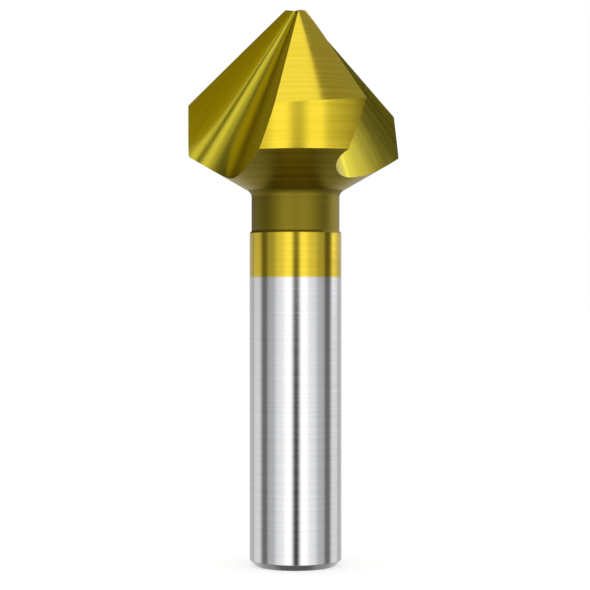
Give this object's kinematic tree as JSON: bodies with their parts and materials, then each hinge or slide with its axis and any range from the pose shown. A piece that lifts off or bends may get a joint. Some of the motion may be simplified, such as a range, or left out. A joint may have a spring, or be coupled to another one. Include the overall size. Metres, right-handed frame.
{
  "type": "countersink bit",
  "caption": "Straight-shank countersink bit for 90 degree screw seats, with skewed flutes, relieved cutting lands on a conical head, and a titanium nitride coating",
  "frame": {"origin": "centre of the flat shank end, which the bit stands on", "axes": "+Z runs along the bit's axis from the shank end to the point; one cutting land faces -Y"},
  "size_m": [0.0276, 0.0271, 0.0724],
  "materials": {
    "high_speed_steel": "cylindrically ground steel shank; head, neck and top of the shank coated gold with titanium nitride"
  },
  "bodies": {
    "root": {"countersink_bit": "high_speed_steel"}
  },
  "joints": []
}
